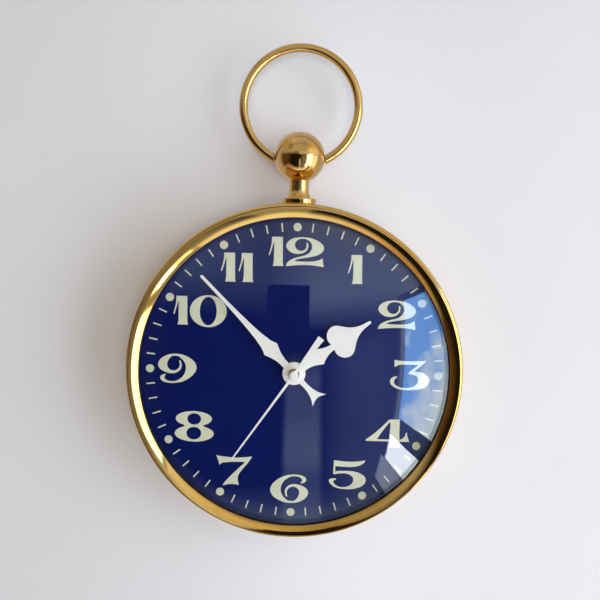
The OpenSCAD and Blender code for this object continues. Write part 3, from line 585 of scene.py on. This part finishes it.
def bright_steel():
    material, sheet, place = start_finish("bright_steel")
    drawn_out = sheet.node("Mapping", {}, {"Vector": place, "Scale": (300.0, 300.0, 6000.0)})
    brushed = mottle(sheet, drawn_out, 1.0)
    cloud = mottle(sheet, place, 260.0)
    surface = sheet.node("BsdfPrincipled", {}, {
        "Base Color": cloud.between(0.35, 0.8).blend(rgb(0.62, 0.62, 0.60), rgb(0.44, 0.44, 0.43)),
        "Metallic": 1.0,
        "Roughness": 0.2 + brushed * 0.2 + cloud * 0.08,
        "Normal": bumped(sheet, brushed, 0.006),
    })
    return end_finish(material, sheet, surface)


def wheel_plastic():
    material, sheet, place = start_finish("wheel_plastic")
    grain = mottle(sheet, place, 4200.0)
    cloud = mottle(sheet, place, 200.0, detail=2.0)
    surface = sheet.node("BsdfPrincipled", {}, {
        "Base Color": cloud.between(0.3, 0.8).blend(rgb(0.80, 0.77, 0.66), rgb(0.72, 0.68, 0.56)),
        "Roughness": 0.30 + grain * 0.2,
        "Subsurface Weight": 0.1,
        "Normal": bumped(sheet, grain, 0.008),
    })
    return end_finish(material, sheet, surface)


def magnet_grey():
    material, sheet, place = start_finish("magnet_grey")
    grain = mottle(sheet, place, 6200.0, detail=4.0)
    surface = sheet.node("BsdfPrincipled", {}, {
        "Base Color": grain.between(0.3, 0.75).blend(rgb(0.055, 0.055, 0.06), rgb(0.10, 0.10, 0.11)),
        "Metallic": 0.6,
        "Roughness": 0.4 + grain * 0.25,
        "Normal": bumped(sheet, grain, 0.02),
    })
    return end_finish(material, sheet, surface)


def wound_copper():
    material, sheet, place = start_finish("wound_copper")
    turns = sheet.node("TexWave", {"wave_type": "BANDS", "bands_direction": "X"}, {
        "Vector": place, "Scale": 2600.0, "Distortion": 0.6, "Detail": 1.0})
    surface = sheet.node("BsdfPrincipled", {}, {
        "Base Color": turns.blend(rgb(0.30, 0.09, 0.035), rgb(0.62, 0.25, 0.12)),
        "Metallic": 0.9,
        "Roughness": 0.42 - turns * 0.15,
        "Normal": bumped(sheet, turns, 0.03),
    })
    return end_finish(material, sheet, surface)


def board_green():
    material, sheet, place = start_finish("board_green")
    weave = mottle(sheet, place, 3200.0, detail=2.0)
    paths = sheet.node("TexBrick", {}, {
        "Vector": place, "Scale": 420.0, "Mortar Size": 0.03,
        "Color1": rgb(0.0, 0.0, 0.0), "Color2": rgb(0.25, 0.25, 0.25), "Mortar": rgb(1.0, 1.0, 1.0)})
    surface = sheet.node("BsdfPrincipled", {}, {
        "Base Color": paths.blend(rgb(0.012, 0.11, 0.035), rgb(0.03, 0.22, 0.08)),
        "Roughness": 0.28 + weave * 0.2,
        "Normal": bumped(sheet, weave, 0.01),
    })
    return end_finish(material, sheet, surface)


def battery_jacket():
    material, sheet, place = start_finish("battery_jacket")
    across = axes(sheet, place)[0]
    collar = across.between(*battery_band)
    grain = mottle(sheet, place, 3800.0)
    cloud = mottle(sheet, place, 150.0)
    body = cloud.between(0.3, 0.8).blend(rgb(0.020, 0.021, 0.024), rgb(0.032, 0.033, 0.036))
    band = cloud.between(0.3, 0.8).blend(rgb(0.56, 0.33, 0.16), rgb(0.47, 0.27, 0.12))
    surface = sheet.node("BsdfPrincipled", {}, {
        "Base Color": collar.blend(body, band),
        "Metallic": 0.25 + collar * 0.6,
        "Roughness": 0.26 + grain * 0.16,
        "Normal": bumped(sheet, grain, 0.006),
    })
    return end_finish(material, sheet, surface)


def back_enamel():
    material, sheet, place = start_finish("back_enamel")
    peel = mottle(sheet, place, 900.0)
    cloud = mottle(sheet, place, 40.0, detail=4.0)
    surface = sheet.node("BsdfPrincipled", {}, {
        "Base Color": cloud.between(0.35, 0.75).blend(rgb(0.018, 0.018, 0.019), rgb(0.034, 0.033, 0.032)),
        "Roughness": 0.34 + cloud * 0.18,
        "Normal": bumped(sheet, peel, 0.03),
    })
    return end_finish(material, sheet, surface)


def painted_wall():
    material, sheet, place = start_finish("painted_wall")
    roller = mottle(sheet, place, 300.0, detail=4.0)
    cloud = mottle(sheet, place, 6.0)
    paint = sheet.node("BsdfPrincipled", {}, {
        "Base Color": cloud.between(0.3, 0.75).blend(rgb(0.660, 0.69, 0.768), rgb(0.635, 0.665, 0.742)),
        "Roughness": 0.9,
        "Normal": bumped(sheet, roller, 0.15, strength=0.5),
    })
    from_behind = sheet.node("NewGeometry", out="Backfacing")
    gone = sheet.node("BsdfTransparent")
    surface = sheet.node("MixShader", {}, {0: from_behind, 1: paint, 2: gone})
    return end_finish(material, sheet, surface)


def glowing_card(name, colour, other, scale=12.0, detail=3.0, strength=1.0):
    material, sheet, place = start_finish(name)
    cloud = mottle(sheet, place, scale, detail)
    shade = cloud.blend(rgb(*colour), rgb(*other))
    glow = sheet.node("Emission", {}, {"Color": shade, "Strength": strength})
    return end_finish(material, sheet, glow)


def window_sky(name, top, low, near, strength):
    material, sheet, place = start_finish(name)
    y, z = axes(sheet, place)[1:]
    cloud = mottle(sheet, place, 4.6, detail=6.0, roughness=0.62)
    haze = z.between(0.1, -0.55) * y.between(-1.20, -0.92) * 0.85
    white = (haze + cloud.between(0.44, 0.64) * 0.65).between(0.25, 0.85)
    beside = y.between(-0.78, -0.64)
    colour = beside.blend(white.blend(rgb(*top), rgb(*low)), rgb(*near))
    glow = sheet.node("Emission", {}, {"Color": colour, "Strength": strength})
    return end_finish(material, sheet, glow)


def dress(piece, material):
    piece.data.materials.clear()
    piece.data.materials.append(material)


def fit(piece, material, body, slot, *stands_for):
    dress(piece, material)
    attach(piece, body)
    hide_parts(*stands_for)


case_colours = ((0.80, 0.52, 0.15), (0.60, 0.35, 0.09))
pendant_colours = ((0.74, 0.48, 0.16), (0.54, 0.31, 0.09))
case_gold = polished_brass("case_gold", *case_colours, rough=0.02, lines=900.0)
pendant_gold = polished_brass("pendant_gold", *pendant_colours, rough=0.01, lines=700.0)
worn_gold = polished_brass("worn_gold", *pendant_colours, rough=0.15, lines=700.0)

fit(make_case_drum(), case_gold, "case", "case_brass", "case_drum")
fit(make_bezel(), case_gold, "case", "case_brass", "bezel")
fit(make_glass(), clear_glass(), "case", "clear_glass", "glass_dome")
fit(make_ball(), pendant_gold, "case", "case_brass", "pendant_ball")
fit(make_neck(), worn_gold, "case", "case_brass", "pendant_neck")
fit(make_collar(), pendant_gold, "case", "case_brass", "pendant_collar")
fit(make_ring(), worn_gold, "bow", "case_brass", "bow_ring")

finishes = {
    "fitting_brass": satin_brass(),
    "black_rubber": moulded_black("black_rubber", grey=0.010, rough=0.55, coarse=2600.0),
    "black_plastic": moulded_black("black_plastic", grey=0.014, rough=0.36, coarse=1600.0),
    "dial_blue": dial_lacquer(),
    "print_cream": printed_cream(),
    "hand_white": hand_paint(),
    "back_black": back_enamel(),
    "bright_steel": bright_steel(),
    "wheel_plastic": wheel_plastic(),
    "magnet_grey": magnet_grey(),
    "copper_wire": wound_copper(),
    "board_green": board_green(),
    "battery_jacket": battery_jacket(),
}
for part in frame["record"]["subparts"]:
    if part["material_slot"] in finishes:
        dress(nodes[part["node"]], finishes[part["material_slot"]])


# Wall, light and camera, in metres

wall_size = 6.0
wall_y = 0.0006
window_x = 0.80
window_frame_x = 0.81
clock_middle = (0, 0, 0)
upright = (math.pi / 2, 0, 0)
facing_left = (0, -math.pi / 2, 0)
window_light = (0.90, 0.955, 1.0)
warm_light = (1.0, 0.84, 0.66)
back_white = (1.0, 0.98, 0.95)
low_sun = (1.0, 0.87, 0.77)
glow_away = 0.8
glow_size = (0.05, 0.05)
camera_at = (0.00476, -0.41418, 0.0746)
camera_turn = (85.0935, -1.4702, 0.4833)


def add_wall():
    # The wall is plain to the camera and casts nothing back on the clock
    let_go()
    bpy.ops.mesh.primitive_plane_add(size=wall_size, location=(0, wall_y, 0), rotation=upright)
    wall = name_piece(bpy.context.object, "pale_wall")
    settle()
    bpy.ops.object.mode_set(mode="EDIT")
    bpy.ops.mesh.subdivide(number_cuts=3)
    bpy.ops.object.mode_set(mode="OBJECT")
    dress(wall, painted_wall())
    wall.visible_diffuse = False
    wall.visible_glossy = False
    wall.visible_shadow = False
    receiver = bpy.data.collections.new("wall_only")
    receiver.objects.link(wall)
    return receiver


def add_card(name, at, tilt, size, material):
    # A card is seen only in the reflections on brass and glass
    let_go()
    bpy.ops.mesh.primitive_plane_add(size=1.0, location=at, rotation=tilt)
    card = name_piece(bpy.context.object, name)
    card.scale = (*size, 1)
    settle()
    dress(card, material)
    card.visible_camera = False
    card.visible_diffuse = False
    card.visible_shadow = False
    card.visible_transmission = False


def add_window(name, across, up, material, at=window_x):
    middle = (at, sum(across) / 2, sum(up) / 2)
    add_card(name, middle, facing_left, (up[1] - up[0], across[1] - across[0]), material)


def add_lamp(name, at, towards, size, power, colour):
    lamp = bpy.data.lights.new(name, "AREA")
    lamp.shape = "RECTANGLE"
    lamp.size, lamp.size_y = size
    lamp.energy = power
    lamp.color = colour
    holder = bpy.data.objects.new(name, lamp)
    holder.location = at
    holder.rotation_euler = (Vector(towards) - Vector(at)).to_track_quat("-Z", "Y").to_euler()
    holder.visible_camera = False
    holder.visible_glossy = False
    bpy.context.scene.collection.objects.link(holder)
    return holder


def add_wall_glow(name, at, radius, power, receiver):
    # Stands in for the light that the brass throws back on the wall
    glow = add_lamp(name, (at[0], -glow_away, at[2]), at, glow_size, power, window_light)
    glow.data.spread = 2 * math.atan(radius / glow_away)
    glow.light_linking.receiver_collection = receiver


def light_room():
    world = bpy.data.worlds.new("room")
    world.use_nodes = True
    world.node_tree.nodes.clear()
    sheet = Wire(world.node_tree)
    way = sheet.node("TexCoord", out="Generated")
    x, y, z = axes(sheet, way)

    clutter = 0.76 + 0.48 * mottle(sheet, way, 1.9, detail=1.0, roughness=0.4).between(0.35, 0.65)
    behind = y.between(-0.12, 0.24)
    patch = x.between(-0.16, 0.08) * x.between(0.62, 0.36) * z.between(0.78, 0.55)
    lift = (z - 0.06 * x.between(0.04, -0.14)).between(0.05, 0.24)
    high = z.between(0.44, 0.62)
    overhead = z.between(0.74, 0.96)
    ceiling = lift * (0.31 + 0.28 * patch) + high * 0.04 + overhead * 0.16
    low = z.between(-0.46, -0.62) * y.between(-0.63, -0.46)
    below = low * 0.52 + z.between(-0.70, -0.90) * 0.36
    open_door = x.between(-0.065, -0.035) * x.between(0.14, 0.11) * z.between(-0.06, -0.20)
    doorway = open_door * (0.46 - 0.20 * z.between(-0.58, -0.66))
    side = x.between(0.12, 0.30) * x.between(0.52, 0.38) * z.between(0.12, -0.02) * 0.26
    right = x.between(0.34, 0.80) * 0.55
    left = x.between(-0.60, -0.82)
    lit = ((ceiling + below + doorway + side + right) * clutter).between(0.0, 1.0)

    dim = left.blend(rgb(0.015, 0.013, 0.014), rgb(0.11, 0.062, 0.030))
    cream = z.between(0.40, 0.52) * z.between(0.94, 0.78)
    plain = cream.blend(rgb(1.12, 1.12, 1.16), rgb(1.18, 1.03, 0.68))
    tinted = (low * x.between(-0.12, -0.46)).blend(plain, rgb(0.93, 0.59, 0.32))
    mirrored = behind.blend(lit.blend(dim, tinted), rgb(0.56, 0.52, 0.50))
    looked_at = sheet.node("LightPath", out="Is Camera Ray")
    whole = looked_at.blend(mirrored, rgb(0.66, 0.66, 0.67))
    background = sheet.node("Background", {}, {"Color": whole, "Strength": 1.0})
    sheet.node("OutputWorld", {}, {"Surface": background})
    bpy.context.scene.world = world


wall_only = add_wall()

sky = window_sky("sky", top=(0.26, 0.47, 0.82), low=(1.0, 0.95, 0.86), near=(1.0, 0.90, 0.62), strength=5.8)
low_pane = window_sky("low_pane", top=low_sun, low=low_sun, near=low_sun, strength=9.4)
side_light = window_sky(
    "side_light", top=(0.86, 0.92, 1.0), low=(0.9, 0.95, 1.0), near=(0.9, 0.95, 1.0), strength=1.7)
sill = glowing_card("window_sill", (2.15, 2.00, 1.95), (1.65, 1.60, 1.65))
jamb = glowing_card("window_jamb", (1.30, 1.25, 1.20), (1.00, 1.00, 1.00))
window_frame = glowing_card(
    "window_frame", (0.5, 0.55, 0.66), (0.8, 0.82, 0.9), scale=5.0, detail=2.0, strength=0.52)
dark_shade = glowing_card("dark_card", (0.004, 0.004, 0.005), (0.03, 0.02, 0.015))
pale_shade = glowing_card("pale_card", (0.62, 0.58, 0.54), (0.50, 0.47, 0.44))

add_window("window_sky", across=(-1.21, -0.42), up=(-0.59, 0.32), material=sky)
add_window("window_low", across=(-1.29, -0.80), up=(-1.04, -0.78), material=low_pane)
add_window("window_sill", across=(-1.38, -0.86), up=(-1.36, -1.05), material=sill)
add_window("window_jamb", across=(-1.268, -1.225), up=(-0.62, 0.30), material=jamb)
add_window("window_side", across=(-0.38, -0.04), up=(-0.45, 0.20), material=side_light)
add_window(
    "window_frame", across=(-1.33, -0.38), up=(-1.46, 0.38), material=window_frame, at=window_frame_x)
add_card("dark_card", (-0.025, -0.45, 0.095), upright, size=(0.115, 0.15), material=dark_shade)
add_card("pale_card", (0, -0.13, 0.21), upright, size=(0.16, 0.09), material=pale_shade)

add_lamp(
    "window_light", (0.80, -0.58, -0.15), clock_middle, size=(0.62, 1.50), power=9.9, colour=window_light)
add_wall_glow("low_glow", (0.035, 0, -0.115), radius=0.15, power=0.012, receiver=wall_only)
add_wall_glow("top_glow", (0.01, 0, 0.13), radius=0.12, power=0.009, receiver=wall_only)
add_lamp("room_fill", (0.10, -1.15, 0.0), clock_middle, size=(0.6, 0.6), power=4.7, colour=warm_light)
add_lamp("back_light", (-0.7, 1.1, 0.6), clock_middle, size=(1.0, 1.0), power=16.0, colour=back_white)
light_room()

camera = bpy.data.cameras.new("camera")
camera.lens = 41.4
camera.sensor_width = 36.0
camera.clip_start = 0.01
stand = bpy.data.objects.new("camera", camera)
stand.location = camera_at
stand.rotation_euler = [math.radians(angle) for angle in camera_turn]
bpy.context.scene.collection.objects.link(stand)
bpy.context.scene.camera = stand
bpy.context.scene.view_settings.view_transform = "Standard"

let_go()
